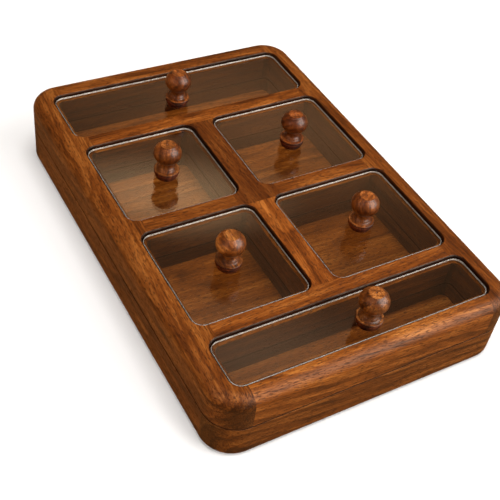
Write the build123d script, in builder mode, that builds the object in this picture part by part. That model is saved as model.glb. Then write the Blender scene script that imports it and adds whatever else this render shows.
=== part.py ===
"""Dried fruit box: a shallow glued walnut tray with six compartments, each under its own clear lid.

X runs across the box from its left side to its right side, Y from its near end to its far end, and Z up.
The origin is in the middle of the footprint, on the surface that the box stands on. Lengths are in mm.
"""
import os
from collections import namedtuple

from build123d import *

# Plan along Y, from the near end to the far end
near_rim_width = 13
near_cell_length = 39
near_divider_width = 12
third_row_length = 89
middle_divider_width = 13
second_row_length = 85.5
far_divider_width = 12.5
far_cell_length = 55
far_rim_width = 18

# Plan along X, from the left side to the right side
side_rim_width = 15
left_cell_width = 88
centre_divider_width = 17
right_cell_width = 95

# Heights of the glued body and of what is let into it
box_height = 55
upper_layer_height = 26.5
floor_thickness = 10
floor_recess = 6
floor_edge_wall = 12.5
floor_clearance = 0.3

# Edges of the body
outer_corner_radius = 22.5
top_edge_radius = 9
bottom_edge_radius = 4.5
seam_relief = 0.6
opening_edge_relief = 0.7

# Lid seats: an opening at the top, and a pocket inside it that leaves a ledge for the lid
ledge_width = 3.5
pocket_corner_radius = 5
lid_sink = 1.9
divider_joint_setback = 0.8

# Lids
lid_thickness = 4
lid_gap = 0.9
lid_edge_radius = 0.5
lid_bottom_bevel = 0.4
lid_hole_radius = 2.1
lid_lift_travel = 60

# Turned knobs: radii and heights of the mouldings, from the foot upwards
knob_foot_radius = 7.7
knob_foot_height = 0.9
knob_cove_radius = 7.5
knob_cove_height = 1.5
knob_bead_edge_radius = 8.4
knob_bead_radius = 9.1
knob_bead_height = 3
knob_groove_height = 0.8
knob_shoulder_radius = 9.35
knob_shoulder_edge_height = 0.7
knob_dome_height = 5.5
knob_neck_radius = 5.1
knob_ball_radius = 10.15
knob_ball_half_height = 8.7
knob_ball_centre_height = 21
knob_facet_radius = 5.6
knob_facet_break = 0.35
knob_centre_mark_radius = 0.6
knob_centre_mark_depth = 0.5
knob_bore_radius = 2
knob_bore_depth = 11

# Screws that hold the knobs from below
screw_shank_radius = 1.75
screw_length = 13.5
screw_tip_length = 2
screw_head_radius = 3.5
screw_head_height = 2.4
screw_head_edge_height = 0.8
screw_head_shoulder_radius = 3.2
screw_head_flat_radius = 2.3
screw_recess_length = 3.6
screw_recess_width = 0.8
screw_recess_depth = 1.1

# How far a cut runs past what it cuts, and the angle of a quarter turn
overrun = 1
quarter_turn = 90

# Places worked out from the sizes above
box_width = 2 * side_rim_width + left_cell_width + centre_divider_width + right_cell_width
box_length = (near_rim_width + near_cell_length + near_divider_width + third_row_length
              + middle_divider_width + second_row_length + far_divider_width + far_cell_length
              + far_rim_width)
left_face = -box_width / 2
right_face = box_width / 2
near_face = -box_length / 2
far_face = box_length / 2
seam_height = box_height - upper_layer_height
floor_top = floor_recess + floor_thickness
ledge_height = box_height - lid_sink - lid_thickness
lid_top = box_height - lid_sink
opening_corner_radius = pocket_corner_radius + ledge_width

left_opening = left_face + side_rim_width
left_cell_right = left_opening + left_cell_width
right_cell_left = left_cell_right + centre_divider_width
right_opening = right_face - side_rim_width
near_cell_near = near_face + near_rim_width
near_cell_far = near_cell_near + near_cell_length
third_row_near = near_cell_far + near_divider_width
third_row_far = third_row_near + third_row_length
second_row_near = third_row_far + middle_divider_width
second_row_far = second_row_near + second_row_length
far_cell_near = second_row_far + far_divider_width
far_cell_far = far_cell_near + far_cell_length

# A rectangle in plan, by its four edges
Plot = namedtuple("Plot", "left right near far")

cells = {
    "near": Plot(left_opening, right_opening, near_cell_near, near_cell_far),
    "third_left": Plot(left_opening, left_cell_right, third_row_near, third_row_far),
    "third_right": Plot(right_cell_left, right_opening, third_row_near, third_row_far),
    "second_left": Plot(left_opening, left_cell_right, second_row_near, second_row_far),
    "second_right": Plot(right_cell_left, right_opening, second_row_near, second_row_far),
    "far": Plot(left_opening, right_opening, far_cell_near, far_cell_far),
}

# Where each knob stands on its lid, as shares of the opening's width and length from its near left corner
knob_place_shares = {
    "near": (0.522, 0.322),
    "third_left": (0.504, 0.465),
    "third_right": (0.478, 0.451),
    "second_left": (0.515, 0.444),
    "second_right": (0.486, 0.43),
    "far": (0.454, 0.31),
}


def inset(plot, margin):
    """The plot drawn in by a margin on all four sides."""
    return Plot(plot.left + margin, plot.right - margin, plot.near + margin, plot.far - margin)


def middle(plot):
    """The centre of a plot."""
    return ((plot.left + plot.right) / 2, (plot.near + plot.far) / 2)


def block_out(plot, mode=Mode.ADD):
    """Draws a plot as a plain rectangle in the current sketch."""
    with Locations(middle(plot)):
        Rectangle(plot.right - plot.left, plot.far - plot.near, mode=mode)


def round_out(plot, radius, mode=Mode.ADD):
    """Draws a plot as a rectangle with rounded corners in the current sketch."""
    with Locations(middle(plot)):
        RectangleRounded(plot.right - plot.left, plot.far - plot.near, radius, mode=mode)


body_plot = Plot(left_face, right_face, near_face, far_face)
floor_hollow = inset(body_plot, floor_edge_wall)
os.makedirs("parts", exist_ok=True)


def save(builder, label):
    """Labels a finished piece and writes its file."""
    builder.part.label = label
    export_step(builder.part, f"parts/{label}.step")


# The upper layer as it leaves the mill: rounded top edge, lid rebates and the upper half of the pockets
with BuildPart() as upper_layer:
    with BuildSketch(Plane.XY.offset(seam_height)):
        round_out(body_plot, outer_corner_radius)
    extrude(amount=upper_layer_height)
    fillet(upper_layer.faces().sort_by(Axis.Z)[-1].edges(), radius=top_edge_radius)
    chamfer(upper_layer.faces().sort_by(Axis.Z)[0].edges(), length=seam_relief)
    with BuildSketch(Plane.XY.offset(seam_height)):
        for cell in cells.values():
            round_out(inset(cell, ledge_width), pocket_corner_radius)
    extrude(amount=upper_layer_height, mode=Mode.SUBTRACT)
    with BuildSketch(Plane.XY.offset(ledge_height)):
        for cell in cells.values():
            round_out(cell, opening_corner_radius)
    extrude(amount=lid_thickness + lid_sink, mode=Mode.SUBTRACT)
    top_face = upper_layer.faces().sort_by(Axis.Z)[-1]
    chamfer(top_face.inner_wires().edges(), length=opening_edge_relief)

# The lower layer: rounded bottom edge, the lower half of the pockets, and a hollow below for the floor
with BuildPart() as lower_layer:
    with BuildSketch():
        round_out(body_plot, outer_corner_radius)
    extrude(amount=seam_height)
    fillet(lower_layer.faces().sort_by(Axis.Z)[0].edges(), radius=bottom_edge_radius)
    chamfer(lower_layer.faces().sort_by(Axis.Z)[-1].edges(), length=seam_relief)
    with BuildSketch(Plane.XY.offset(floor_top)):
        for cell in cells.values():
            round_out(inset(cell, ledge_width), pocket_corner_radius)
    extrude(amount=seam_height - floor_top, mode=Mode.SUBTRACT)
    with BuildSketch():
        round_out(floor_hollow, pocket_corner_radius)
    extrude(amount=floor_top, mode=Mode.SUBTRACT)

# Joints between the strips of wood. The side rails hold the whole corner curves of the openings
side_joint = side_rim_width + opening_corner_radius
left_joint = left_face + side_joint
right_joint = right_face - side_joint
beyond_left = left_face - overrun
beyond_right = right_face + overrun
beyond_near = near_face - overrun
beyond_far = far_face + overrun
centre_left = left_cell_right - opening_corner_radius
centre_right = right_cell_left + opening_corner_radius

# In the upper layer the side rails run the whole length, and the end rails stand between them.
# The far centre divider runs on through the middle crossing, so the middle divider is in two halves
upper_near_centre = Plot(centre_left, centre_right, third_row_near + divider_joint_setback,
                         third_row_far - divider_joint_setback)
upper_far_centre = Plot(centre_left, centre_right, third_row_far - divider_joint_setback,
                        second_row_far - divider_joint_setback)
upper_pieces = {
    "upper_left_rail": (Plot(beyond_left, left_joint, beyond_near, beyond_far), []),
    "upper_right_rail": (Plot(right_joint, beyond_right, beyond_near, beyond_far), []),
    "upper_near_rail": (Plot(left_joint, right_joint, beyond_near, near_cell_near + ledge_width), []),
    "upper_far_rail": (Plot(left_joint, right_joint, far_cell_far - ledge_width, beyond_far), []),
    "upper_near_divider": (Plot(left_joint, right_joint, near_cell_far - ledge_width,
                                third_row_near + ledge_width), [upper_near_centre]),
    "upper_middle_divider_left": (Plot(left_joint, centre_left, third_row_far - ledge_width,
                                       second_row_near + ledge_width), []),
    "upper_middle_divider_right": (Plot(centre_right, right_joint, third_row_far - ledge_width,
                                        second_row_near + ledge_width), []),
    "upper_far_divider": (Plot(left_joint, right_joint, second_row_far - ledge_width,
                               far_cell_near + ledge_width), [upper_far_centre]),
    "upper_near_centre_divider": (upper_near_centre, []),
    "upper_far_centre_divider": (upper_far_centre, []),
}

# In the lower layer the end rails run the whole width, so that the corner joints of the layers cross
near_end_joint = max(near_cell_near + opening_corner_radius, near_face + outer_corner_radius)
far_end_joint = min(far_cell_far - opening_corner_radius, far_face - outer_corner_radius)
lower_joint_setback = ledge_width + divider_joint_setback
lower_near_centre = Plot(centre_left, centre_right, third_row_near + lower_joint_setback,
                         third_row_far - lower_joint_setback)
lower_far_centre = Plot(centre_left, centre_right, second_row_near + lower_joint_setback,
                        second_row_far - lower_joint_setback)
lower_pieces = {
    "lower_near_rail": (Plot(beyond_left, beyond_right, beyond_near, near_end_joint), []),
    "lower_far_rail": (Plot(beyond_left, beyond_right, far_end_joint, beyond_far), []),
    "lower_left_rail": (Plot(beyond_left, left_joint, near_end_joint, far_end_joint), []),
    "lower_right_rail": (Plot(right_joint, beyond_right, near_end_joint, far_end_joint), []),
    "lower_near_divider": (Plot(left_joint, right_joint, near_cell_far - ledge_width,
                                third_row_near + lower_joint_setback), [lower_near_centre]),
    "lower_middle_divider": (Plot(left_joint, right_joint, third_row_far - lower_joint_setback,
                                  second_row_near + lower_joint_setback),
                             [lower_near_centre, lower_far_centre]),
    "lower_far_divider": (Plot(left_joint, right_joint, second_row_far - lower_joint_setback,
                               far_cell_near + ledge_width), [lower_far_centre]),
    "lower_near_centre_divider": (lower_near_centre, []),
    "lower_far_centre_divider": (lower_far_centre, []),
}

for layer, pieces in ((upper_layer, upper_pieces), (lower_layer, lower_pieces)):
    for label, (plot, taken) in pieces.items():
        with BuildPart() as strip:
            add(layer.part)
            with BuildSketch(Plane.XY.offset(-overrun)):
                block_out(plot)
                for other in taken:
                    block_out(other, mode=Mode.SUBTRACT)
            extrude(amount=box_height + 2 * overrun, mode=Mode.INTERSECT)
        save(strip, label)

# The floor, glued up into the hollow against the undersides of the rails and dividers
with BuildPart() as floor_panel:
    with BuildSketch(Plane.XY.offset(floor_recess)):
        round_out(inset(floor_hollow, floor_clearance), pocket_corner_radius)
    extrude(amount=floor_thickness)
save(floor_panel, "floor_panel")


def lid_plate(cell, knob_place):
    """A clear plate with its edges broken, drilled for the screw of its knob."""
    with BuildPart() as plate:
        with BuildSketch(Plane.XY.offset(ledge_height)):
            round_out(inset(cell, lid_gap), opening_corner_radius - lid_gap)
        extrude(amount=lid_thickness)
        fillet(plate.faces().sort_by(Axis.Z)[-1].edges(), radius=lid_edge_radius)
        chamfer(plate.faces().sort_by(Axis.Z)[0].edges(), length=lid_bottom_bevel)
        with Locations(knob_place + (lid_top,)):
            Hole(lid_hole_radius)
    return plate


def on_ball(radius):
    """Height above or below the middle of the ball at which its outline has this radius."""
    return knob_ball_half_height * (1 - (radius / knob_ball_radius) ** 2) ** 0.5


def lid_knob(knob_place):
    """A knob turned in one piece: foot, bead, groove, domed shoulder, neck, and a ball with a flat."""
    axis = Plane(origin=knob_place + (lid_top,), x_dir=(1, 0, 0), z_dir=(0, -1, 0))
    bead_low = knob_foot_height + knob_cove_height
    bead_high = bead_low + knob_bead_height
    shoulder_low = bead_high + knob_groove_height
    shoulder_high = shoulder_low + knob_shoulder_edge_height
    neck_low = shoulder_high + knob_dome_height
    neck_high = knob_ball_centre_height - on_ball(knob_neck_radius)
    facet_height = knob_ball_centre_height + on_ball(knob_facet_radius)
    facet_edge = knob_facet_radius - knob_facet_break
    top_height = facet_height + knob_facet_break
    cove_middle = (knob_foot_height + bead_low) / 2
    bead_middle = (bead_low + bead_high) / 2
    with BuildPart() as knob:
        with BuildSketch(axis):
            with BuildLine():
                Polyline((0, 0), (knob_foot_radius, 0), (knob_foot_radius, knob_foot_height))
                ThreePointArc((knob_foot_radius, knob_foot_height), (knob_cove_radius, cove_middle),
                              (knob_bead_edge_radius, bead_low))
                ThreePointArc((knob_bead_edge_radius, bead_low), (knob_bead_radius, bead_middle),
                              (knob_bead_edge_radius, bead_high))
                Polyline((knob_bead_edge_radius, bead_high), (knob_shoulder_radius, shoulder_low),
                         (knob_shoulder_radius, shoulder_high))
                EllipticalCenterArc((knob_neck_radius, shoulder_high),
                                    knob_shoulder_radius - knob_neck_radius, knob_dome_height,
                                    start_angle=0, arc_size=quarter_turn)
                Line((knob_neck_radius, neck_low), (knob_neck_radius, neck_high))
                ThreePointArc((knob_neck_radius, neck_high), (knob_ball_radius, knob_ball_centre_height),
                              (knob_facet_radius, facet_height))
                Line((knob_facet_radius, facet_height), (facet_edge, top_height))
                Polyline((facet_edge, top_height), (knob_centre_mark_radius, top_height),
                         (0, top_height - knob_centre_mark_depth), (0, 0))
            make_face()
        revolve(axis=Axis(axis.origin, (0, 0, 1)))
        with BuildSketch(Plane(origin=knob_place + (lid_top,))):
            Circle(knob_bore_radius)
        extrude(amount=knob_bore_depth, mode=Mode.SUBTRACT)
    return knob


def knob_screw(knob_place):
    """A pan head wood screw, driven up through the lid into the knob."""
    axis = Plane(origin=knob_place + (ledge_height,), x_dir=(1, 0, 0), z_dir=(0, -1, 0))
    head_shoulder_height = (screw_head_edge_height + screw_head_height) / 2
    with BuildPart() as screw:
        with BuildSketch(axis):
            with BuildLine():
                Polyline((0, screw_length), (screw_shank_radius, screw_length - screw_tip_length),
                         (screw_shank_radius, 0), (screw_head_radius, 0),
                         (screw_head_radius, -screw_head_edge_height))
                ThreePointArc((screw_head_radius, -screw_head_edge_height),
                              (screw_head_shoulder_radius, -head_shoulder_height),
                              (screw_head_flat_radius, -screw_head_height))
                Polyline((screw_head_flat_radius, -screw_head_height), (0, -screw_head_height),
                         (0, screw_length))
            make_face()
        revolve(axis=Axis(axis.origin, (0, 0, 1)))
        with BuildSketch(Plane(origin=knob_place + (ledge_height - screw_head_height,))):
            Rectangle(screw_recess_length, screw_recess_width)
            Rectangle(screw_recess_width, screw_recess_length)
        extrude(amount=screw_recess_depth, mode=Mode.SUBTRACT)
    return screw


for name, cell in cells.items():
    across_share, along_share = knob_place_shares[name]
    place = (cell.left + across_share * (cell.right - cell.left),
             cell.near + along_share * (cell.far - cell.near))
    save(lid_plate(cell, place), f"{name}_lid")
    save(lid_knob(place), f"{name}_lid_knob")
    save(knob_screw(place), f"{name}_lid_screw")

print("box", box_width, "x", box_length, "x", box_height, "mm, six lids, lift travel", lid_lift_travel)
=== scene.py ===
# %% [markdown]
# A dried fruit box in walnut: six compartments in a shallow glued tray, and a clear lid with a turned knob
# on each. The solids come from the part's own model and stay where they are. This lesson gives them their
# finishes, turns the knobs on a finer lathe, gives the lids milled edges, and sets up the camera and the
# light.

# %% Load the frame
import math
from functools import partial

import bpy
import numpy as np
from mathutils import Matrix, Vector


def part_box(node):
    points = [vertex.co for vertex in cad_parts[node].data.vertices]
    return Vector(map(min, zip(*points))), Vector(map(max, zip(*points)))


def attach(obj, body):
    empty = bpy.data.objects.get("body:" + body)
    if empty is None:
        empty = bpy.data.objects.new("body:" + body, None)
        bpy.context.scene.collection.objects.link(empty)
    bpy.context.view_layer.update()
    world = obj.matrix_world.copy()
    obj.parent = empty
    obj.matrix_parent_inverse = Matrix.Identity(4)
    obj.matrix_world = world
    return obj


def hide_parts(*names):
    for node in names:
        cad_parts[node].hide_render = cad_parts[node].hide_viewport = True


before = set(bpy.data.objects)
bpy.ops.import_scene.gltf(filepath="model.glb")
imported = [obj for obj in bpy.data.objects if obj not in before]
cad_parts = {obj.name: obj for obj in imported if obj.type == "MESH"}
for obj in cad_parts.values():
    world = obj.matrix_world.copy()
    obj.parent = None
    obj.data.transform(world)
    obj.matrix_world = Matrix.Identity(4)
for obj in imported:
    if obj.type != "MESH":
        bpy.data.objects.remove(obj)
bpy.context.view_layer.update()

# %% [markdown]
# The camera stands over the box's near left corner, looks down at about 45 degrees and leans to one side.
# Its place was worked out from the straight edges of the six openings, so it is given here as plain angles
# and one distance from the point at the middle of the picture.

# %% Camera
camera_aim = Vector((-0.0358, -0.0575, 0.055))
camera_distance = 0.6198
camera_heading = math.radians(35.224)
camera_fall = math.radians(44.572)
camera_lean = math.radians(9.077)
camera_lens = 65.8

forward = Vector((math.sin(camera_heading) * math.cos(camera_fall),
                  math.cos(camera_heading) * math.cos(camera_fall), -math.sin(camera_fall)))
level_right = forward.cross(Vector((0, 0, 1))).normalized()
level_up = level_right.cross(forward)
camera_right = level_right * math.cos(camera_lean) + level_up * math.sin(camera_lean)
camera_up = level_up * math.cos(camera_lean) - level_right * math.sin(camera_lean)

camera = bpy.data.objects.new("camera", bpy.data.cameras.new("camera"))
bpy.context.scene.collection.objects.link(camera)
camera.data.lens = camera_lens
camera.data.sensor_width = 36
camera.data.clip_start = 0.01
camera.matrix_world = Matrix.LocRotScale(camera_aim - camera_distance * forward,
                                         Matrix((camera_right, camera_up, -forward)).transposed(), None)
bpy.context.scene.camera = camera
print("camera stands at", [round(v, 3) for v in camera.matrix_world.translation])

# %% [markdown]
# The picture is a plain product shot on white. Blender's usual display transform greys white paper and
# mutes walnut, so the scene asks for the standard one, which shows each colour as it is lit.

# %% Display
display = bpy.context.scene.view_settings
display.view_transform = "Standard"
print("display transform:", display.view_transform)

# %% [markdown]
# Materials are built from nodes, so a few short helpers save a lot of repeated lines. The first adds one
# node, sets its options, and fills each input with a number or with the output of another node. The others
# use it for the nodes that turn up most.

# %% Helpers that add nodes
def add_node(tree, kind, inputs=None, **options):
    """Adds a node to a tree. An input's value is a number, a tuple, or another node's output socket."""
    node = tree.nodes.new(kind)
    for name, value in options.items():
        setattr(node, name, value)
    for name, value in (inputs or {}).items():
        if isinstance(value, bpy.types.NodeSocket):
            tree.links.new(value, node.inputs[name])
        else:
            node.inputs[name].default_value = value
    return node


def add_math(tree, operation, *values, clamp=False):
    """Adds a maths node on one to three numbers or sockets, and returns its output."""
    inputs = dict(enumerate(values))
    return add_node(tree, "ShaderNodeMath", inputs, operation=operation, use_clamp=clamp).outputs[0]


def split_xyz(tree, vector):
    """The three numbers of a vector, as output sockets."""
    return add_node(tree, "ShaderNodeSeparateXYZ", {0: vector}).outputs


def scaled(tree, vector, factors):
    """A vector whose three numbers are each multiplied by their own factor."""
    return add_node(tree, "ShaderNodeVectorMath", {0: vector, 1: factors}, operation="MULTIPLY").outputs[0]


# %% Helpers for noise, ranges and colours
def add_noise(tree, place, scale, detail, roughness=0.5):
    """Noise between 0 and 1 at a place."""
    inputs = {"Vector": place, "Scale": scale, "Detail": detail, "Roughness": roughness}
    return add_node(tree, "ShaderNodeTexNoise", inputs).outputs["Fac"]


def map_range(tree, value, start, end, to_start=0.0, to_end=1.0, interpolation="LINEAR"):
    """A value carried from the range start..end to to_start..to_end, and held at both ends."""
    inputs = {"Value": value, "From Min": start, "From Max": end, "To Min": to_start, "To Max": to_end}
    return add_node(tree, "ShaderNodeMapRange", inputs, interpolation_type=interpolation).outputs["Result"]


def mix_colours(tree, mask, first, second, blend_type="MIX"):
    """The first colour where the mask is 0, and its blend with the second where the mask is 1."""
    inputs = {"Factor": mask, "A": first, "B": second}
    return add_node(tree, "ShaderNodeMix", inputs, data_type="RGBA", blend_type=blend_type).outputs["Result"]


def add_ramp(tree, factor, stops):
    """Adds a colour ramp whose stops are (place, colour) pairs, and returns its colour output."""
    node = add_node(tree, "ShaderNodeValToRGB", {"Fac": factor})
    ramp = node.color_ramp
    while len(ramp.elements) < len(stops):
        ramp.elements.new(1)
    for element, (place, colour) in zip(ramp.elements, stops):
        element.position = place
        element.color = colour
    return node.outputs["Color"]


# %% Helpers that start a group or a material
def start_group(name, inputs, outputs):
    """Starts a shader node group with named inputs and outputs, each a (name, socket kind, value)."""
    group = bpy.data.node_groups.new(name, "ShaderNodeTree")
    for socket_name, kind, value in inputs:
        socket = group.interface.new_socket(socket_name, in_out="INPUT", socket_type=kind)
        if value is not None:
            socket.default_value = value
    for socket_name, kind in outputs:
        group.interface.new_socket(socket_name, in_out="OUTPUT", socket_type=kind)
    return group, group.nodes.new("NodeGroupInput").outputs, group.nodes.new("NodeGroupOutput").inputs


def start_material(name):
    """An empty node material, its tree, and its output node."""
    material = bpy.data.materials.new(name)
    material.use_nodes = True
    material.node_tree.nodes.clear()
    return material, material.node_tree, material.node_tree.nodes.new("ShaderNodeOutputMaterial")


def give_finish(piece, material):
    """Every slot of the piece takes the material."""
    if not piece.data.materials:
        piece.data.materials.append(material)
    for index in range(len(piece.data.materials)):
        piece.data.materials[index] = material


# %% [markdown]
# Every strip of the tray is sawn from walnut. Its figure has four parts: growth rings cut at a slant, brown
# streaks along the fibres, slow clouds, and short dark pores. A picture of wood could be laid on each face,
# but it would repeat, and the end of a board wouldn't carry on from its side. Noise in the object's own
# coordinates runs right through the wood, so it is used for all four parts. They all run along the board,
# so the group works on a position whose X lies along the grain, and each board turns and moves that
# position itself.

# %% Noise drawn out along the grain
FLOAT, VECTOR = "NodeSocketFloat", "NodeSocketVector"
figure_group, figure_in, figure_out = start_group(
    "walnut_figure",
    [("Position", VECTOR, None), ("Ring Width", FLOAT, 0.006), ("Ring Depth", FLOAT, 0.3),
     ("Fibre Depth", FLOAT, 1.0), ("Cloud Depth", FLOAT, 0.6)],
    [("Figure", FLOAT), ("Pores", FLOAT), ("Height", FLOAT)])
figure_math = partial(add_math, figure_group)
print("group", figure_group.name, "takes", [socket.name for socket in figure_in if socket.name])


def grain_noise(along, across, detail, roughness=0.55):
    """Noise on the position times (along, across, across): the smaller 'along' draws it out along X."""
    squeezed = scaled(figure_group, figure_in["Position"], (along, across, across))
    return add_noise(figure_group, squeezed, scale=1.0, detail=detail, roughness=roughness)


def centred(value):
    """A noise value less one half, so that it swings about zero."""
    return figure_math("SUBTRACT", value, 0.5)


# %% [markdown]
# The growth rings are tubes about the tree's heart, which lies along X. A point's distance from the heart,
# divided by the width of a ring, gives its place in a ring by its fraction. The late wood darkens slowly
# towards the end of a ring and breaks off over its last seventh. Two noises bend the tubes, so that no cut
# shows a straight line.

# %% Growth rings
RING_SWAY, RING_RIPPLE = 0.030, 0.007
LATE_WOOD_POWER = 2.2
RING_END, RING_END_STEEPNESS = 0.86, 7.0

sway = centred(grain_noise(5, 16, detail=2))
ripple = centred(grain_noise(16, 70, detail=2))
bend = figure_math("MULTIPLY_ADD", sway, RING_SWAY, figure_math("MULTIPLY", ripple, RING_RIPPLE))
from_heart = split_xyz(figure_group, figure_in["Position"])
bent_y = figure_math("ADD", from_heart[1], bend)
bent_z = figure_math("ADD", from_heart[2], bend)
squared = figure_math("MULTIPLY_ADD", bent_y, bent_y, figure_math("MULTIPLY", bent_z, bent_z))
radius = figure_math("SQRT", squared)
ring_place = figure_math("FRACT", figure_math("DIVIDE", radius, figure_in["Ring Width"]))
late_wood = figure_math("POWER", ring_place, LATE_WOOD_POWER)
past_end = figure_math("MULTIPLY", figure_math("SUBTRACT", ring_place, RING_END), RING_END_STEEPNESS,
                       clamp=True)
rings = figure_math("MULTIPLY", late_wood, figure_math("SUBTRACT", 1.0, past_end))
print("nodes for the rings:", len(figure_group.nodes))

# %% Streaks, clouds and pores
MIDDLE_TONE = 0.58
BAND_SHARE, FIBRE_SHARE = 0.95, 1.35
PORE_START, PORE_STEEPNESS = 0.54, 8.0

fibres = grain_noise(45, 820, detail=5, roughness=0.72)
bands = grain_noise(13, 190, detail=3)
clouds = grain_noise(11, 38, detail=2)
pore_noise = grain_noise(260, 1300, detail=1)
streaks = figure_math("MULTIPLY_ADD", centred(bands), BAND_SHARE,
                      figure_math("MULTIPLY", centred(fibres), FIBRE_SHARE))
light = figure_math("SUBTRACT", MIDDLE_TONE, figure_math("MULTIPLY", rings, figure_in["Ring Depth"]))
light = figure_math("MULTIPLY_ADD", streaks, figure_in["Fibre Depth"], light)
light = figure_math("MULTIPLY_ADD", centred(clouds), figure_in["Cloud Depth"], light, clamp=True)
pores = figure_math("MULTIPLY", figure_math("SUBTRACT", pore_noise, PORE_START), PORE_STEEPNESS, clamp=True)
for socket, value in {"Figure": light, "Pores": pores,
                      "Height": figure_math("SUBTRACT", fibres, pores)}.items():
    figure_group.links.new(value, figure_out[socket])
print("group", figure_group.name, "with", len(figure_group.nodes), "nodes")

# %% [markdown]
# Some shade and some marks are painted into the wood's colour. The upright walls of the lid seats, in the
# narrow gap beside each lid, carry painted shade that makes them nearly black; the deep walls of the pockets
# carry painted shade that makes them dark; a fine line shows where the layers are glued; and end grain takes
# more colour than long grain. They could be painted on by hand, face by face. A second group finds them
# instead from the object's own coordinates and normal, and puts out one mask for each, so they stay right
# when a size of the box changes.

# %% Where the painted shade, the glue and the end grain go
UPRIGHT_LIMIT = 0.8
# The seam's mask is full up to 0.35 mm from it, and gone at 0.85 mm.
SEAM_CORE, SEAM_FALL = 1.7, 2000.0
# End grain is full at this share of the way from its start to a face squarely across the grain.
END_GRAIN_SPAN = 0.7

marks_group, marks_in, marks_out = start_group(
    "shade_glue_and_grain_masks",
    [("Grain", VECTOR, (1, 0, 0)), ("Ledge", FLOAT, 0.049), ("Edge", FLOAT, 0.054), ("Seam", FLOAT, 0.028),
     ("Inside Low", VECTOR, (-0.1, -0.15, 0)), ("Inside High", VECTOR, (0.1, 0.15, 0.05)),
     ("End Start", FLOAT, 0.55)],
    [("Seat Wall", FLOAT), ("Pocket Wall", FLOAT), ("Seam", FLOAT), ("End Grain", FLOAT)])
marks_math = partial(add_math, marks_group)
own = add_node(marks_group, "ShaderNodeTexCoord").outputs
spot = split_xyz(marks_group, own["Object"])
low_corner = split_xyz(marks_group, marks_in["Inside Low"])
high_corner = split_xyz(marks_group, marks_in["Inside High"])


def all_true(*tests):
    """Several 0-or-1 values multiplied together."""
    product = tests[0]
    for test in tests[1:]:
        product = marks_math("MULTIPLY", product, test)
    return product


facing_up = marks_math("ABSOLUTE", split_xyz(marks_group, own["Normal"])[2])
upright = marks_math("LESS_THAN", facing_up, UPRIGHT_LIMIT)
inside = all_true(marks_math("GREATER_THAN", spot[0], low_corner[0]),
                  marks_math("LESS_THAN", spot[0], high_corner[0]),
                  marks_math("GREATER_THAN", spot[1], low_corner[1]),
                  marks_math("LESS_THAN", spot[1], high_corner[1]))
above_ledge = marks_math("GREATER_THAN", spot[2], marks_in["Ledge"])
below_ledge = marks_math("SUBTRACT", 1.0, above_ledge)
below_edge = marks_math("LESS_THAN", spot[2], marks_in["Edge"])
from_seam = marks_math("ABSOLUTE", marks_math("SUBTRACT", spot[2], marks_in["Seam"]))
facing_along = add_node(marks_group, "ShaderNodeVectorMath", {0: own["Normal"], 1: marks_in["Grain"]},
                        operation="DOT_PRODUCT").outputs["Value"]
along_grain = marks_math("ABSOLUTE", facing_along)
end_full = marks_math("MULTIPLY_ADD", marks_in["End Start"], 1 - END_GRAIN_SPAN, END_GRAIN_SPAN)
masks = {
    "Seat Wall": all_true(upright, inside, above_ledge, below_edge),
    "Pocket Wall": all_true(upright, inside, below_ledge),
    "Seam": marks_math("SUBTRACT", SEAM_CORE, marks_math("MULTIPLY", from_seam, SEAM_FALL), clamp=True),
    "End Grain": map_range(marks_group, along_grain, marks_in["End Start"], end_full),
}
for socket, value in masks.items():
    marks_group.links.new(value, marks_out[socket])
print("group", marks_group.name, "with", len(marks_group.nodes), "nodes")

# %% [markdown]
# The masks need to know where the ledge, the top edge and the seam lie. These heights are measured on the
# solids, in metres, less a hair where a face should stay out of the mask. A margin round the lids takes in
# the walls of their seats.

# %% Heights of the marks
HAIR = 0.0001
SEAT_MARGIN = 0.002

lid_low, lid_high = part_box("near_lid")
seats_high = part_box("far_lid")[1]
rail_low, rail_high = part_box("upper_left_rail")
mark_places = {"Ledge": lid_low.z - HAIR, "Edge": rail_high.z - HAIR, "Seam": rail_low.z,
               "Inside Low": (lid_low.x - SEAT_MARGIN, lid_low.y - SEAT_MARGIN, 0.0),
               "Inside High": (seats_high.x + SEAT_MARGIN, seats_high.y + SEAT_MARGIN, rail_high.z)}
print("seam, ledge and edge lie at, m:", [round(mark_places[n], 4) for n in ("Seam", "Ledge", "Edge")])

# %% [markdown]
# Walnut runs from dark heartwood to light brown, and no two boards of a real box match. A tone makes a
# board lighter or darker, and a warmth makes it redder or yellower. How a board was sawn is told by the axis
# of its grain and by a small yaw and pitch, which decide whether the rings show as lines or as long loops.

# %% Colours and lay of a board
WALNUT_DARK = np.array((0.032, 0.0064, 0.0006))
WALNUT_MID = np.array((0.134, 0.0322, 0.0033))
WALNUT_LIGHT = np.array((0.300, 0.098, 0.017))


def wood_colours(tone, warmth):
    """Three ramp colours for a board: each walnut colour times tone, its red times warmth, and its blue
    divided by the root of warmth."""
    hue = np.array((warmth, 1.0, 1.0 / warmth ** 0.5))
    return [tuple(np.clip(c * tone * hue, 0, 1)) + (1.0,) for c in (WALNUT_DARK, WALNUT_MID, WALNUT_LIGHT)]


def laid(along, yaw=0.0, pitch=0.0):
    """How a board's grain lies: a turn that brings it onto X, and its own axis. Angles are in degrees."""
    yaw, pitch = math.radians(yaw), math.radians(pitch)
    if along == "x":
        return (0.0, pitch, yaw), (1.0, 0.0, 0.0)
    if along == "y":
        return (pitch, 0.0, yaw - math.pi / 2), (0.0, 1.0, 0.0)
    return (0.0, math.pi / 2, yaw), (0.0, 0.0, 1.0)


# %% [markdown]
# Boards and knobs start from the same bare wood: the figure coloured by a ramp, its pores filled with the
# darkest colour, and end grain tinted. They share a shader too. The sheen of oiled walnut comes from its
# fibres, so it is broad and takes the colour of the wood, and a very shallow relief of the fibres breaks it
# up. What lies over the wood differs, so each kind has its own function further on.

# %% Bare walnut
PORE_STRENGTH = 0.75
FIBRE_SMOOTHING = 0.15
SHEEN_TINT = (1.0, 0.79, 0.61, 1)


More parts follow.
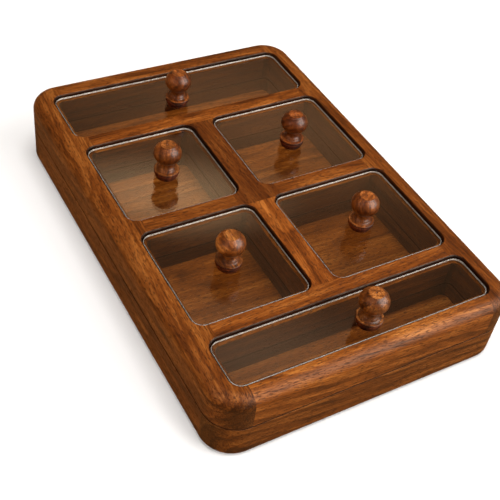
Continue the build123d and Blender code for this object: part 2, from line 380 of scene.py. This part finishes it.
def bare_walnut(tree, lay, board, tone, warmth, figure_values, end_start, end_tint):
    """The wood before its finish: its colour, its fibres' height, and the masks of painted shade, glue and
    end grain.
    'lay' says how its grain lies, and 'board' which part of the tree it is."""
    turn, grain = lay
    place = add_node(tree, "ShaderNodeMapping",
                     {"Vector": add_node(tree, "ShaderNodeTexCoord").outputs["Object"],
                      "Rotation": turn, "Location": board}).outputs["Vector"]
    figure = add_node(tree, "ShaderNodeGroup", {"Position": place, **figure_values},
                      node_tree=figure_group).outputs
    marks = add_node(tree, "ShaderNodeGroup", {"Grain": grain, "End Start": end_start, **mark_places},
                     node_tree=marks_group).outputs
    dark, mid, pale = wood_colours(tone, warmth)
    colour = add_ramp(tree, figure["Figure"], [(0.12, dark), (0.52, mid), (0.95, pale)])
    colour = mix_colours(tree, add_math(tree, "MULTIPLY", figure["Pores"], PORE_STRENGTH), colour, dark)
    colour = mix_colours(tree, marks["End Grain"], colour, end_tint, "MULTIPLY")
    return colour, figure["Height"], marks


def oiled(tree, output, colour, rough, height, coat=0.0):
    """The shader of oiled wood: a broad sheen in the wood's colour, and a coat of lacquer where asked."""
    relief = add_node(tree, "ShaderNodeBump", {"Height": height, "Strength": 0.35, "Distance": 0.0003})
    shader = add_node(tree, "ShaderNodeBsdfPrincipled",
                      {"Base Color": colour, "Roughness": rough, "Normal": relief.outputs["Normal"],
                       "IOR": 1.45, "Specular IOR Level": 0.55, "Specular Tint": SHEEN_TINT,
                       "Coat Weight": coat, "Coat Roughness": 0.30, "Coat IOR": 1.5})
    tree.links.new(shader.outputs[0], output.inputs["Surface"])


# %% [markdown]
# A board takes the marks over its wood: painted shade in the pockets and in the seats, and dark along the
# glue.
# Each mark multiplies the wood's colour, so that the figure still shows through. Glue doesn't shine, so the
# seam is as rough as can be, and it reads as a dark line from every side.

# %% A walnut board
# Painted shade: the first colour darkens the seat walls and also the glue line, the second the pocket walls.
GLUE_AND_SEAT_SHADE = (0.16, 0.12, 0.10, 1)
SHADED = (0.38, 0.31, 0.24, 1)
BOARD_END_TINT = (0.5, 0.5, 0.5, 1)
BOARD_END_START = 0.55
BOARD_ROUGHNESS = 0.51
BOARD_FIGURE = {"Ring Width": 0.007, "Ring Depth": 0.34, "Fibre Depth": 1.0, "Cloud Depth": 0.6}


def board_walnut(name, lay, board, tone, warmth, figure_values):
    """An oiled board of the tray, with painted shade on its pocket and seat walls, and glued where the masks
    say.
    """
    material, tree, output = start_material(name)
    colour, height, marks = bare_walnut(tree, lay, board, tone, warmth, figure_values, BOARD_END_START,
                                        BOARD_END_TINT)
    # Painted shade on the pocket and seat walls, and the dark of the glue line.
    for mask, tint in (("Pocket Wall", SHADED), ("Seat Wall", GLUE_AND_SEAT_SHADE), ("Seam", GLUE_AND_SEAT_SHADE)):
        colour = mix_colours(tree, marks[mask], colour, tint, "MULTIPLY")
    rough = add_math(tree, "MULTIPLY_ADD", height, -FIBRE_SMOOTHING, BOARD_ROUGHNESS)
    rough = add_math(tree, "MAXIMUM", rough, marks["Seam"])
    oiled(tree, output, colour, rough, height)
    return material


# %% [markdown]
# The strips of the tray are sawn with the grain along their length: the side rails and centre dividers run
# along Y, and the rails, the other dividers and the floor along X. Few boards are sawn quite true, so each
# has a slight yaw and pitch. The table gives each piece its lay, its place in the tree, its tone and its
# warmth, judged against the picture. The rails at the near end show bolder rings than the rest, and
# the floor a calmer figure.

# %% Boards of the tray
boards = {
    "upper_left_rail": (laid("y", 3, 2), (0.31, 0.020, 0.082), 1.00, 1.00),
    "upper_right_rail": (laid("y", -2, 1), (1.17, -0.030, 0.071), 1.00, 1.02),
    "upper_near_rail": (laid("x", 2, -6), (2.42, 0.176, -0.012), 1.62, 0.93),
    "upper_far_rail": (laid("x", 2, 1), (3.05, -0.110, 0.060), 1.10, 1.00),
    "upper_near_divider": (laid("x", -3, 1), (4.33, 0.050, 0.074), 1.25, 1.00),
    "upper_middle_divider_left": (laid("x", 4, 1), (5.20, 0.015, 0.066), 1.08, 1.00),
    "upper_middle_divider_right": (laid("x", 2, 1), (6.71, -0.020, 0.080), 1.15, 1.00),
    "upper_far_divider": (laid("x", -2, 1), (7.44, -0.050, 0.063), 1.35, 1.00),
    "upper_near_centre_divider": (laid("y", 4, 1), (8.12, 0.010, 0.077), 1.30, 1.03),
    "upper_far_centre_divider": (laid("y", -3, 1), (9.26, -0.012, 0.052), 0.62, 1.10),
    "lower_left_rail": (laid("y", 0, 3), (10.37, 0.060, 0.090), 1.00, 1.00),
    "lower_right_rail": (laid("y", 0, 2), (11.81, 0.020, 0.060), 1.00, 1.00),
    "lower_near_rail": (laid("x", 0, -7), (12.62, 0.186, 0.010), 1.22, 0.92),
    "lower_far_rail": (laid("x", 0, 3), (13.35, 0.090, 0.070), 1.00, 1.00),
    "lower_near_divider": (laid("x"), (14.52, 0.060, 0.080), 0.90, 1.00),
    "lower_middle_divider": (laid("x"), (15.91, 0.030, 0.050), 0.90, 1.00),
    "lower_far_divider": (laid("x"), (16.28, 0.070, 0.060), 0.90, 1.00),
    "lower_near_centre_divider": (laid("y"), (17.73, 0.030, 0.070), 0.90, 1.00),
    "lower_far_centre_divider": (laid("y"), (18.44, 0.040, 0.060), 0.90, 1.00),
    "floor_panel": (laid("x", 2), (19.57, 0.020, 0.100), 1.70, 0.98),
}
bold_rings = {"Ring Width": 0.009, "Ring Depth": 0.46}
calm_figure = {"Fibre Depth": 0.65, "Cloud Depth": 0.5}
figure_changes = {"upper_near_rail": bold_rings, "lower_near_rail": bold_rings, "floor_panel": calm_figure}

for node_name, (lay, board, tone, warmth) in boards.items():
    figure_values = {**BOARD_FIGURE, **figure_changes.get(node_name, {})}
    give_finish(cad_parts[node_name],
                board_walnut(f"walnut_{node_name}", lay, board, tone, warmth, figure_values))
print("boards finished:", len(boards))

# %% [markdown]
# A turned knob is one profile carried round an axis: a foot, a hollow, a bead, a collar with a dished top,
# a neck, and a ball with a flat cut on it, where the lathe's centre left its mark. It stands for the packed
# knob, whose facets would show in the highlight on the ball, and whose shoulder is a plain dome. A Screw
# modifier could turn it. Arrays are used here, because the profile is a list of short curves and the
# surface is a plain formula.

# %% Knob sizes
mm = 0.001
foot_radius, foot_height = 7.7 * mm, 0.9 * mm
cove_depth = 0.5 * mm
bead_edge_radius, bead_radius = 8.4 * mm, 9.1 * mm
bead_low, bead_high = 2.4 * mm, 5.4 * mm
collar_radius, collar_low, collar_high = 9.3 * mm, 6.2 * mm, 6.9 * mm
collar_undercut, dish_depth = 0.15 * mm, 0.25 * mm
step_radius, step_low, step_high = 6.3 * mm, 7.7 * mm, 8.7 * mm
step_draft = 0.1 * mm
neck_radius, neck_height, neck_hollow = 4.9 * mm, 12.4 * mm, 0.45 * mm
ball_radius, ball_half_height, ball_centre = 10.15 * mm, 8.7 * mm, 21.0 * mm
facet_radius, facet_break = 5.6 * mm, 0.35 * mm
facet_shoulder = 0.6 * facet_break
mark_radius, mark_depth = 0.6 * mm, 0.5 * mm
soft_edge = 0.2 * mm
KNOB_SEGMENTS = 72
BEAD_POINTS, BALL_POINTS = 11, 40


# %% Knob outline
def bow(start, end, bulge, count=9):
    """Points of a shallow arc: the straight line from start to end, plus 'bulge' times sine, to its right."""
    share = np.linspace(0, 1, count)[:, None]
    start, end = np.array(start), np.array(end)
    along = end - start
    sideways = np.array((along[1], -along[0])) / np.linalg.norm(along)
    return start + share * along + bulge * np.sin(np.pi * share) * sideways


def knob_profile():
    """Outline of the knob as (radius, height) points, from the middle of the foot up to the centre mark.
    The ball is an ellipse: radius times cosine, and centre plus half height times sine."""
    foot = np.array([(0.0, 0.0), (foot_radius - soft_edge, 0.0), (foot_radius, soft_edge),
                     (foot_radius, foot_height)])
    cove = bow((foot_radius, foot_height), (bead_edge_radius, bead_low), -cove_depth)
    bead = bow((bead_edge_radius, bead_low), (bead_edge_radius, bead_high), bead_radius - bead_edge_radius,
               BEAD_POINTS)
    collar = np.array([(collar_radius - collar_undercut, collar_low), (collar_radius, collar_low + soft_edge),
                       (collar_radius, collar_high - soft_edge), (collar_radius - soft_edge, collar_high)])
    dish = bow((collar_radius - soft_edge, collar_high), (step_radius, step_low), -dish_depth)
    neck = bow((step_radius - step_draft, step_high), (neck_radius, neck_height), -neck_hollow)
    sweep = np.linspace(-np.arccos(neck_radius / ball_radius), np.arccos(facet_radius / ball_radius),
                        BALL_POINTS)
    ball = np.stack([ball_radius * np.cos(sweep), ball_centre + ball_half_height * np.sin(sweep)], 1)
    edge = ball[-1, 1]
    top = edge + facet_break
    flat = np.array([(facet_radius - 0.5 * facet_shoulder, edge + facet_shoulder),
                     (facet_radius - facet_break, top), (0.6 * facet_radius, top), (0.3 * facet_radius, top),
                     (mark_radius, top), (0.5 * mark_radius, top - 0.7 * mark_depth),
                     (0.0, top - mark_depth)])
    return np.vstack([foot, cove[1:], bead[1:], collar, dish[1:], neck, ball, flat])


knob_outline = knob_profile()
print("knob outline:", len(knob_outline), "points, up to", round(1000 * knob_outline[:, 1].max(), 2), "mm")


# %% Turning on the lathe
def new_piece(name, points, faces):
    """A mesh object at the origin, from its points and faces."""
    mesh = bpy.data.meshes.new(name)
    mesh.from_pydata(points.tolist(), [], faces)
    piece = bpy.data.objects.new(name, mesh)
    bpy.context.scene.collection.objects.link(piece)
    return piece


def turned(name, profile, centre):
    """A lathed mesh: point (i, j) lies at angle 2 pi i / n, at the profile's radius and height j."""
    angle = 2 * np.pi * np.arange(KNOB_SEGMENTS) / KNOB_SEGMENTS
    inner = profile[1:-1]
    rings = np.stack([np.outer(inner[:, 0], np.cos(angle)), np.outer(inner[:, 0], np.sin(angle)),
                      np.repeat(inner[:, 1:], KNOB_SEGMENTS, 1)], 2).reshape(-1, 3)
    bottom, top = np.array([(0, 0, profile[0, 1])]), np.array([(0, 0, profile[-1, 1])])
    points = np.vstack([rings, bottom, top]) + np.array(centre)
    i = np.arange(KNOB_SEGMENTS)
    after = (i + 1) % KNOB_SEGMENTS
    rows = np.arange(len(inner) - 1)[:, None] * KNOB_SEGMENTS
    quads = np.stack([rows + i, rows + after, rows + KNOB_SEGMENTS + after, rows + KNOB_SEGMENTS + i],
                     2).reshape(-1, 4)
    last = (len(inner) - 1) * KNOB_SEGMENTS
    low_fan = np.stack([np.full_like(i, len(rings)), after, i], 1)
    high_fan = np.stack([np.full_like(i, len(rings) + 1), last + i, last + after], 1)
    return new_piece(name, points, quads.tolist() + low_fan.tolist() + high_fan.tolist())


def smooth_below(piece, height):
    """Faces whose middle lies at or below a height are shaded smooth, and those above it flat."""
    middles = np.empty(3 * len(piece.data.polygons))
    piece.data.polygons.foreach_get("center", middles)
    piece.data.polygons.foreach_set("use_smooth", middles[2::3] <= height)


# %% [markdown]
# A knob stands upright, so its grain runs along Z. End grain shows on the flat, paler and yellower than the
# ball. Lacquer makes the ball shine. Under the collar the wood is dull and unlacquered, and carries painted
# shade that makes it dark.

# %% Turned walnut
# Painted shade under the collar: a dark tint on the wood there.
UNDER_COLLAR_SHADE = (0.50, 0.28, 0.15, 1)
UNDER_ROUGHNESS = 0.75
KNOB_END_TINT = np.array((1.9, 2.3, 3.2))
KNOB_END_START = 0.97
KNOB_ROUGHNESS = 0.49
KNOB_COAT = 0.7
KNOB_FIGURE = {"Ring Width": 0.0042, "Ring Depth": 0.34, "Fibre Depth": 1.35, "Cloud Depth": 0.9}


def turned_walnut(name, spin, board, tone, warmth, flat_tone, collar_height):
    """Lacquered walnut with its grain along Z, turned by 'spin' degrees, dull and in painted shade under the
    collar.
    """
    material, tree, output = start_material(name)
    end_tint = (*(flat_tone * KNOB_END_TINT), 1)
    colour, height, _ = bare_walnut(tree, laid("z", spin), board, tone, warmth, KNOB_FIGURE, KNOB_END_START,
                                    end_tint)
    own_height = split_xyz(tree, add_node(tree, "ShaderNodeTexCoord").outputs["Object"])[2]
    # Below the collar: painted shade, no lacquer, and a rougher surface.
    under = add_math(tree, "LESS_THAN", own_height, collar_height)
    colour = mix_colours(tree, under, colour, UNDER_COLLAR_SHADE, "MULTIPLY")
    rough = add_math(tree, "MULTIPLY_ADD", height, -FIBRE_SMOOTHING, KNOB_ROUGHNESS)
    rough = add_math(tree, "MAXIMUM", rough, add_math(tree, "MULTIPLY", under, UNDER_ROUGHNESS))
    coat = add_math(tree, "MULTIPLY_ADD", under, -KNOB_COAT, KNOB_COAT)
    oiled(tree, output, colour, rough, height, coat)
    return material


# %% [markdown]
# Each knob is its own piece of wood. The table gives its place in the tree, its tone and warmth, the turn of
# its grain in degrees, and how pale its flat is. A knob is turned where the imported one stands, rides on the
# lid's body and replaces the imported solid.

# %% Knobs
knobs = {
    "near": ((20.1, 0.012, 0.031), 0.80, 1.06, 23, 1.15),
    "third_left": ((21.2, -0.014, 0.027), 1.22, 1.05, 97, 0.66),
    "third_right": ((22.7, 0.016, 0.022), 0.72, 1.20, 149, 1.00),
    "second_left": ((23.9, -0.011, 0.034), 0.98, 1.10, 189, 0.80),
    "second_right": ((24.3, 0.013, 0.025), 0.46, 1.42, 235, 1.10),
    "far": ((25.8, -0.015, 0.028), 0.80, 1.20, 298, 1.00),
}
knob_places = {}
for cell, (board, tone, warmth, spin, flat_tone) in knobs.items():
    packed = f"{cell}_lid_knob"
    low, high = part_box(packed)
    knob_places[cell] = ((low.x + high.x) / 2, (low.y + high.y) / 2, low.z)
    knob = turned(f"{cell}_turned_knob", knob_outline, knob_places[cell])
    smooth_below(knob, high.z - facet_shoulder)
    give_finish(knob, turned_walnut(f"turned_walnut_{cell}", spin, board, tone, warmth, flat_tone,
                                    low.z + collar_low))
    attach(knob, f"{cell}_cover")
    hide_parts(packed)
print("knobs:", len(knobs), "of", len(knob.data.vertices), "points each")

# %% [markdown]
# A lid is clear cast sheet with milled edges. Light that enters its top runs inside it to the edges, and
# the fine saw marks there scatter it: that is why the far edges shine white. Here that glow is painted light
# in the edges' finish. So the plate needs two finishes, clear on its flats and matt on its edges, and the
# imported solid, which has one, is replaced by a plate of the same form. Its surface is a ring: the outline
# carried down the edge and back through the hole.

# %% Lid sizes
lid_corner = 7.6 * mm
edge_radius = 0.5 * mm
bottom_bevel = 0.4 * mm
hole_radius = 2.1 * mm
CORNER_STEPS = 10
SIDE_STEPS = 10
EDGE_ANGLES = (30, 60, 90)


# %% Lid outline
def outline(low, high, inset):
    """A rounded rectangle drawn in by 'inset': each corner is its centre plus radius times (cos, sin), and
    each side is split into equal steps."""
    turns = np.linspace(0, np.pi / 2, CORNER_STEPS) + np.pi / 2 * np.arange(4)[:, None]
    centres = np.array([(high.x, high.y), (low.x, high.y), (low.x, low.y), (high.x, low.y)])
    centres += lid_corner * np.array([(-1, -1), (1, -1), (1, 1), (-1, 1)])
    corners = centres[:, None] + (lid_corner - inset) * np.stack([np.cos(turns), np.sin(turns)], 2)
    share = np.linspace(0, 1, SIDE_STEPS + 1)[1:-1, None]
    sides = corners[:, -1:] + share * (np.roll(corners, -1, 0)[:, :1] - corners[:, -1:])
    return np.concatenate([corners, sides], 1).reshape(-1, 2)


def at_height(flat_points, height):
    """Points of the plan, lifted to one height."""
    return np.column_stack([flat_points, np.full(len(flat_points), height)])


# %% Lid plates
def plate(name, low, high, hole):
    """A clear plate: rings of the outline at falling heights, closed through the screw hole in the middle.
    The top edge is a quarter circle: inset r (1 - sin a), at a height r (1 - cos a) below the top."""
    swing = np.radians(EDGE_ANGLES)
    steps = ([(edge_radius, high.z)]
             + list(zip(edge_radius * (1 - np.sin(swing)), high.z - edge_radius * (1 - np.cos(swing))))
             + [(0.0, low.z + bottom_bevel), (bottom_bevel, low.z)])
    outer = [at_height(outline(low, high, inset), height) for inset, height in steps]
    bearing = np.arctan2(outer[0][:, 1] - hole[1], outer[0][:, 0] - hole[0])
    bore = np.array(hole) + hole_radius * np.stack([np.cos(bearing), np.sin(bearing)], 1)
    rings = np.array([at_height(bore, high.z)] + outer + [at_height(bore, low.z)])
    rows, count = rings.shape[:2]
    j, i = np.meshgrid(np.arange(rows), np.arange(count), indexing="ij")
    below, after = (j + 1) % rows, (i + 1) % count
    faces = np.stack([j * count + i, below * count + i, below * count + after, j * count + after], 2)
    piece = new_piece(name, rings.reshape(-1, 3), faces.reshape(-1, 4).tolist())
    rounded = (j > 0) & (j <= len(swing))
    milled = (j > 0) & (j <= len(swing) + 1)
    piece.data.polygons.foreach_set("material_index", milled.astype(np.int32).ravel())
    piece.data.polygons.foreach_set("use_smooth", rounded.ravel())
    return piece


# %% [markdown]
# Clear sheet needs a shader that bends light, but a lamp's light hardly gets through such a shader to what
# lies below, and the compartments would be black. So for shadow rays the sheet is plainly see-through. Its
# haze is a faint noise in the roughness.

# %% Clear sheet
SHEET_IOR = 1.49
HAZE_ROUGHNESS = 0.03
SHEET_TINT, SHADOW_TINT = (0.97, 0.975, 0.97, 1), (0.9, 0.92, 0.91, 1)


def clear_sheet(name):
    """Clear acrylic: a refracting shader for every ray but shadow rays, which go straight through."""
    material, tree, output = start_material(name)
    haze = add_noise(tree, add_node(tree, "ShaderNodeTexCoord").outputs["Object"], scale=60, detail=3)
    shader = add_node(tree, "ShaderNodeBsdfPrincipled",
                      {"Base Color": SHEET_TINT, "IOR": SHEET_IOR, "Transmission Weight": 1.0,
                       "Roughness": add_math(tree, "MULTIPLY", haze, HAZE_ROUGHNESS)})
    passing = add_node(tree, "ShaderNodeBsdfTransparent", {"Color": SHADOW_TINT})
    shadow_ray = add_node(tree, "ShaderNodeLightPath").outputs["Is Shadow Ray"]
    mixed = add_node(tree, "ShaderNodeMixShader",
                     {0: shadow_ray, 1: shader.outputs[0], 2: passing.outputs[0]})
    tree.links.new(mixed.outputs[0], output.inputs["Surface"])
    return material


# %% [markdown]
# The milled edge is matt. How pale it looks depends on the way the light takes through the sheet to reach
# it, which a renderer finds only with much patience, so that light is painted into the edge's colour:
# palest on the near and far edges, a little less on the left ones, dull on the right ones, and fading
# towards the bottom. The rounded corner at the top gets less of the painted light.

# %% Milled edge
# Painted light: how pale each side of the edge is drawn, its fade towards the bottom, and the dimmer rounded
# corner.
SIDE_SHINE, CROSS_SHINE, LEFT_SHINE = 0.15, 0.85, 0.7
CORNER_FACING, CORNER_DIMMING = 0.1, 0.55
BOTTOM_SHINE = 0.4
SAW_SCALE = (900, 900, 60)
SAW_DARK, SAW_PALE = (0.42, 0.33, 0.26, 1), (1.0, 0.92, 0.84, 1)
MATT, SAW_ROUGHNESS = 0.35, 0.3


def milled_edge(name):
    """Matt acrylic with fine upright saw marks, and painted light in its colour. Its painted shine is
    (side + cross |ny| + left max(-nx, 0)), where n is the face's normal, times a fade towards the bottom,
    less on the rounded corner."""
    material, tree, output = start_material(name)
    own = add_node(tree, "ShaderNodeTexCoord").outputs
    facing = split_xyz(tree, own["Normal"])
    crosswise = add_math(tree, "MULTIPLY_ADD", add_math(tree, "ABSOLUTE", facing[1]), CROSS_SHINE, SIDE_SHINE)
    leftwards = add_math(tree, "MULTIPLY", facing[0], -LEFT_SHINE, clamp=True)
    on_corner = add_math(tree, "GREATER_THAN", facing[2], CORNER_FACING)
    corner_dimming = add_math(tree, "MULTIPLY", on_corner, CORNER_DIMMING)
    fade = map_range(tree, split_xyz(tree, own["Object"])[2], lid_low.z, lid_high.z - edge_radius,
                     BOTTOM_SHINE, 1.0)
    shine = add_math(tree, "MULTIPLY", add_math(tree, "ADD", crosswise, leftwards),
                     add_math(tree, "SUBTRACT", fade, corner_dimming, clamp=True))
    saw = add_noise(tree, scaled(tree, own["Object"], SAW_SCALE), scale=1.0, detail=2)
    colour = add_node(tree, "ShaderNodeVectorMath",
                      {0: add_ramp(tree, saw, [(0.3, SAW_DARK), (0.6, SAW_PALE)]), "Scale": shine},
                      operation="SCALE").outputs[0]
    shader = add_node(tree, "ShaderNodeBsdfPrincipled",
                      {"Base Color": colour, "IOR": SHEET_IOR,
                       "Roughness": add_math(tree, "MULTIPLY_ADD", saw, SAW_ROUGHNESS, MATT)})
    tree.links.new(shader.outputs[0], output.inputs["Surface"])
    return material


# %% [markdown]
# Each plate takes both finishes, rides on the same body as its knob, and replaces its packed sheet.

# %% Six lids
clear = clear_sheet("clear_acrylic")
matt = milled_edge("milled_acrylic")
plates = []
for cell in knobs:
    low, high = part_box(f"{cell}_lid")
    sheet = plate(f"{cell}_clear_plate", low, high, knob_places[cell][:2])
    sheet.data.materials.append(clear)
    sheet.data.materials.append(matt)
    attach(sheet, f"{cell}_cover")
    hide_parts(f"{cell}_lid")
    plates.append(sheet)
print("plates:", len(plates), "of", len(sheet.data.polygons), "faces each")

# %% [markdown]
# A zinc plated screw holds each knob from below. It shows only through the lid, so a brushed metal with
# fine noise in its roughness is enough.

# %% Screws
ZINC_DARK, ZINC_PALE = (0.36, 0.35, 0.33, 1), (0.62, 0.61, 0.58, 1)
ZINC_ROUGHNESS, GRIME_ROUGHNESS = 0.22, 0.25


def zinc(name):
    """Zinc plate: pale metal whose roughness changes a little over the surface."""
    material, tree, output = start_material(name)
    grime = add_noise(tree, add_node(tree, "ShaderNodeTexCoord").outputs["Object"], scale=900, detail=4)
    rough = add_math(tree, "MULTIPLY_ADD", grime, GRIME_ROUGHNESS, ZINC_ROUGHNESS)
    shader = add_node(tree, "ShaderNodeBsdfPrincipled",
                      {"Base Color": add_ramp(tree, grime, [(0.2, ZINC_DARK), (0.8, ZINC_PALE)]),
                       "Roughness": rough, "Metallic": 1.0})
    tree.links.new(shader.outputs[0], output.inputs["Surface"])
    return material


plated = zinc("zinc_plate")
for cell in knobs:
    give_finish(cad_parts[f"{cell}_lid_screw"], plated)
print("screws plated:", len(knobs))

# %% [markdown]
# The box stands on a wide sheet of pale paper. Straight on, and through the lids, the paper looks nearly
# white, and it whitens further with distance, so that it has no horizon in a low view. What the wood and the
# lids mirror is another matter: a real box of this kind stands in a warm room. So for all other rays the
# paper is a darker, warmer colour.

# %% Paper
PAPER_HALF = 2
PAPER_SEEN, PAPER_MIRRORED = (0.86, 0.86, 0.86, 1), (0.28, 0.15, 0.06, 1)
WHITE = (1, 1, 1, 1)
WHITENING_START, WHITENING_END = 0.35, 1.1

floor_mesh = bpy.data.meshes.new("stage_floor")
floor_mesh.from_pydata([(-PAPER_HALF, -PAPER_HALF, 0), (PAPER_HALF, -PAPER_HALF, 0),
                        (PAPER_HALF, PAPER_HALF, 0), (-PAPER_HALF, PAPER_HALF, 0)], [], [(0, 1, 2, 3)])
stage_floor = bpy.data.objects.new("stage_floor", floor_mesh)
bpy.context.scene.collection.objects.link(stage_floor)

paper, paper_tree, paper_output = start_material("pale_paper")
ray_kind = add_node(paper_tree, "ShaderNodeLightPath").outputs
seen = add_math(paper_tree, "ADD", ray_kind["Is Camera Ray"], ray_kind["Is Transmission Ray"], clamp=True)
far_off = add_node(paper_tree, "ShaderNodeVectorMath",
                   {0: add_node(paper_tree, "ShaderNodeTexCoord").outputs["Object"]},
                   operation="LENGTH").outputs["Value"]
whitening = map_range(paper_tree, far_off, WHITENING_START, WHITENING_END, interpolation="SMOOTHSTEP")
paper_shader = add_node(paper_tree, "ShaderNodeBsdfPrincipled",
                        {"Base Color": mix_colours(paper_tree, seen, PAPER_MIRRORED, PAPER_SEEN),
                         "Roughness": 0.95, "Specular IOR Level": 0.1, "Emission Color": WHITE,
                         "Emission Strength": add_math(paper_tree, "MULTIPLY", whitening, seen)})
paper_tree.links.new(paper_shader.outputs[0], paper_output.inputs["Surface"])
give_finish(stage_floor, paper)
print("paper:", 2 * PAPER_HALF, "m wide")

# %% [markdown]
# Four soft lamps light the box. The key light stands at the near right, low enough to draw a sheen along
# the near rim and on the balls. In the clear plates its mirror image would turn them white from behind, so
# it doesn't fall on them, and an edge light in the same place lights the plates alone, for their milled
# edges. Two weak fills from the left and from above open the shadows, and neither they nor the edge light
# show in a reflection.

# %% Lamps
LAMP_AIM = (0, 0, 0.03)
KEY_PLACE, KEY_SIZE = (0.98, -1.08, 1.06), 1.7
NEAR_WHITE, SOFT_WHITE = (1.0, 0.98, 0.96), (1.0, 0.99, 0.98)


def soft_light(name, place, size, power, colour):
    """A square area light at a place, turned towards the box. Its size is in metres, its power in watts."""
    light = bpy.data.objects.new(name, bpy.data.lights.new(name, "AREA"))
    light.data.size = size
    light.data.energy = power
    light.data.color = colour
    place, aim = Vector(place), Vector(LAMP_AIM)
    light.matrix_world = Matrix.LocRotScale(place, (aim - place).to_track_quat("-Z", "Y"), None)
    bpy.context.scene.collection.objects.link(light)
    return light


key_light = soft_light("key_light", KEY_PLACE, KEY_SIZE, power=38, colour=NEAR_WHITE)
edge_light = soft_light("edge_light", KEY_PLACE, KEY_SIZE, power=90, colour=NEAR_WHITE)
left_fill = soft_light("left_fill", (-1.25, -0.3, 1.0), size=1.4, power=18, colour=NEAR_WHITE)
top_fill = soft_light("top_fill", (0.0, -0.1, 2.0), size=1.0, power=28, colour=SOFT_WHITE)
for lamp in (edge_light, left_fill, top_fill):
    lamp.visible_glossy = False
    lamp.visible_transmission = False


# %% Which light falls on the plates
def choose_pieces(light, pieces, state):
    """The light falls on these pieces alone, where state is INCLUDE, or on all but these, where EXCLUDE."""
    chosen = bpy.data.collections.new(f"{light.name}_pieces")
    light.light_linking.receiver_collection = chosen
    for piece in pieces:
        chosen.objects.link(piece)
    for member in chosen.collection_objects:
        member.light_linking.link_state = state


choose_pieces(key_light, plates, "EXCLUDE")
choose_pieces(edge_light, plates, "INCLUDE")
print("plates without the key light:", len(plates))

# %% [markdown]
# The lids in the picture lie under a warm veil, the mirror image of a bright room across the table, and the
# knobs stand dark in it. Lamps would give it hard edges, so it is part of the sky: three soft windows and a
# glow, each an ellipse that fades to nothing, over a faint even light. The table gives each one's heading
# and height in degrees, its spread along its own axes, its strength and its colour. The camera itself sees
# plain white behind the paper.

# %% A patch of sky
world = bpy.data.worlds.new("room")
bpy.context.scene.world = world
world.use_nodes = True
room = world.node_tree
room.nodes.clear()
looking = add_node(room, "ShaderNodeTexCoord").outputs["Generated"]


def sky_patch(heading, height, spread, strength):
    """An ellipse of sky: 'strength' in its middle, falling smoothly to nothing at its spread. The direction
    looked in is turned so that the middle lies along Y."""
    ahead = add_node(room, "ShaderNodeMapping",
                     {"Vector": looking, "Rotation": (math.radians(height), 0, math.radians(-heading)),
                      "Scale": spread}, vector_type="TEXTURE").outputs["Vector"]
    ahead = split_xyz(room, ahead)
    sideways = add_node(room, "ShaderNodeCombineXYZ", {"X": ahead[0], "Z": ahead[2]}).outputs[0]
    away = add_node(room, "ShaderNodeVectorMath", {0: sideways}, operation="LENGTH").outputs["Value"]
    fall = map_range(room, away, 1.0, 0.0, 0.0, strength, "SMOOTHSTEP")
    return add_math(room, "MULTIPLY", fall, add_math(room, "GREATER_THAN", ahead[1], 0.0))


def sky_light(colour, strength):
    """A coloured share of the sky's light."""
    return add_node(room, "ShaderNodeBackground", {"Color": colour, "Strength": strength}).outputs[0]


# %% Sky
EVEN_SKY, EVEN_STRENGTH = (1.0, 0.76, 0.54, 1), 0.07
sky_patches = {
    "first window": (27.5, 41.8, (0.17, 1.0, 0.056), 1.7, (1.0, 0.66, 0.36, 1)),
    "high window": (41, 51.5, (0.27, 1.0, 0.10), 0.75, (1.0, 0.62, 0.36, 1)),
    "low window": (36.5, 36.6, (0.34, 1.0, 0.105), 0.46, (1.0, 0.52, 0.24, 1)),
    "glow": (30, 40.5, (1.17, 1.0, 0.35), 0.20, (1.0, 0.48, 0.18, 1)),
}
lit = sky_light(EVEN_SKY, EVEN_STRENGTH)
for heading, height, spread, strength, colour in sky_patches.values():
    patch = sky_light(colour, sky_patch(heading, height, spread, strength))
    lit = add_node(room, "ShaderNodeAddShader", {0: lit, 1: patch}).outputs[0]
straight = add_node(room, "ShaderNodeLightPath").outputs["Is Camera Ray"]
seen_sky = add_node(room, "ShaderNodeMixShader", {0: straight, 1: lit, 2: sky_light(WHITE, 1.0)})
room_output = add_node(room, "ShaderNodeOutputWorld")
room.links.new(seen_sky.outputs[0], room_output.inputs["Surface"])
print("sky with", list(sky_patches))
